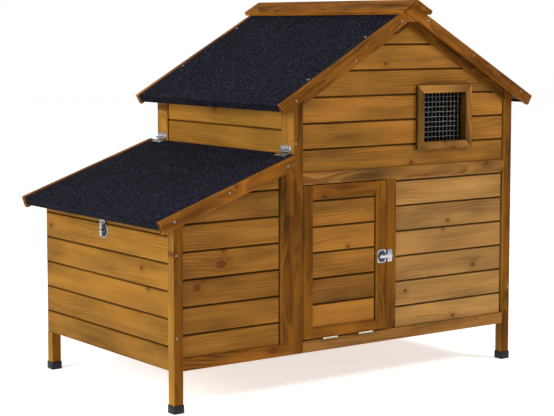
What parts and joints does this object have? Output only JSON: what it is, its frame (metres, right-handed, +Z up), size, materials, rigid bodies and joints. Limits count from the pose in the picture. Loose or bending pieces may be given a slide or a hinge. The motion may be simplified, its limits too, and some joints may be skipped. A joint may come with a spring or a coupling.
{
  "type": "rabbit hutch",
  "caption": "Raised timber rabbit hutch: gabled house with a drop-down front door and a wire window, and a lean-to nest box with a lift-up felted lid.",
  "frame": {"origin": "middle of the bounding box at ground level, under the foot caps", "axes": "+Z up, -Y is the front gable wall with the door and window, the nest box is on the -X side and the ridge runs along Y"},
  "size_m": [1.169, 0.683, 0.9549],
  "materials": {
    "pine_frame": "satin golden-brown stained pine, planed square section",
    "pine_boards": "satin golden-brown stained pine boards",
    "pine_trim": "satin golden-brown stained pine trim",
    "plywood": "matt bare plywood, edges stained",
    "roofing_felt": "matt black mineral roofing felt with fine light grit",
    "foot_plastic": "matt black moulded plastic",
    "zinc_steel": "bright zinc-plated pressed steel",
    "galvanised_wire": "galvanised welded wire"
  },
  "bodies": {
    "hutch": {"leg_nest_front": "pine_frame", "leg_nest_back": "pine_frame", "leg_house_front": "pine_frame", "leg_house_back": "pine_frame", "post_front": "pine_frame", "post_back": "pine_frame", "nest_stile": "pine_frame", "divider": "pine_frame", "nest_boards_front": "pine_boards", "nest_boards_side": "pine_boards", "nest_boards_back": "pine_boards", "boards_front_right": "pine_boards", "boards_gable": "pine_boards", "boards_nest_side_of_house": "pine_boards", "boards_right": "pine_boards", "boards_back": "pine_boards", "ridge_cap_left": "pine_boards", "ridge_cap_right": "pine_boards", "nest_rail_front": "pine_trim", "rail_bottom_front": "pine_trim", "rail_middle_front": "pine_trim", "gable_rail_left": "pine_trim", "gable_rail_right": "pine_trim", "window_frame": "pine_trim", "rake_right_front": "pine_trim", "rake_left_front": "pine_trim", "rake_right_back": "pine_trim", "rake_left_back": "pine_trim", "floor_house": "plywood", "floor_nest": "plywood", "roof_deck_left": "plywood", "roof_deck_right": "plywood", "roof_felt": "roofing_felt", "foot_nest_front": "foot_plastic", "foot_nest_back": "foot_plastic", "foot_house_front": "foot_plastic", "foot_house_back": "foot_plastic", "door_hinge_left_leaf_fixed": "zinc_steel", "door_hinge_right_leaf_fixed": "zinc_steel", "lid_hinge_front_leaf_fixed": "zinc_steel", "lid_hinge_back_leaf_fixed": "zinc_steel", "door_strike": "zinc_steel", "window_mesh": "galvanised_wire"},
    "lid": {"lid_deck": "plywood", "lid_felt": "roofing_felt", "lid_rake_front": "pine_trim", "lid_rake_back": "pine_trim", "lid_hinge_front_leaf_moving": "zinc_steel", "lid_hinge_back_leaf_moving": "zinc_steel", "lid_strike": "zinc_steel"},
    "door": {"door_stile_left": "pine_frame", "door_stile_right": "pine_frame", "door_rail_top": "pine_trim", "door_rail_bottom": "pine_trim", "door_boards": "pine_boards", "door_hinge_left_leaf_moving": "zinc_steel", "door_hinge_right_leaf_moving": "zinc_steel", "door_latch_plate": "zinc_steel"},
    "door_key": {"door_latch_key": "zinc_steel"},
    "lid_key": {"lid_latch_key": "zinc_steel"}
  },
  "joints": [
    {"name": "lid_lift", "type": "hinge", "parent": "hutch", "child": "lid", "pos_m": [-0.193, 0, 0.5902], "axis": [0, 1, 0], "range_deg": [0, 75]},
    {"name": "door_drop", "type": "hinge", "parent": "hutch", "child": "door", "pos_m": [-0.0294, -0.3112, 0.1285], "axis": [1, 0, 0], "range_deg": [0, 105]},
    {"name": "door_key_turn", "type": "hinge", "parent": "door", "child": "door_key", "pos_m": [0.087, -0.3115, 0.315], "axis": [0, -1, 0], "range_deg": [0, 90]},
    {"name": "lid_key_turn", "type": "hinge", "parent": "hutch", "child": "lid_key", "pos_m": [-0.5335, 0.0105, 0.393], "axis": [-1, 0, 0], "range_deg": [0, 90]}
  ]
}
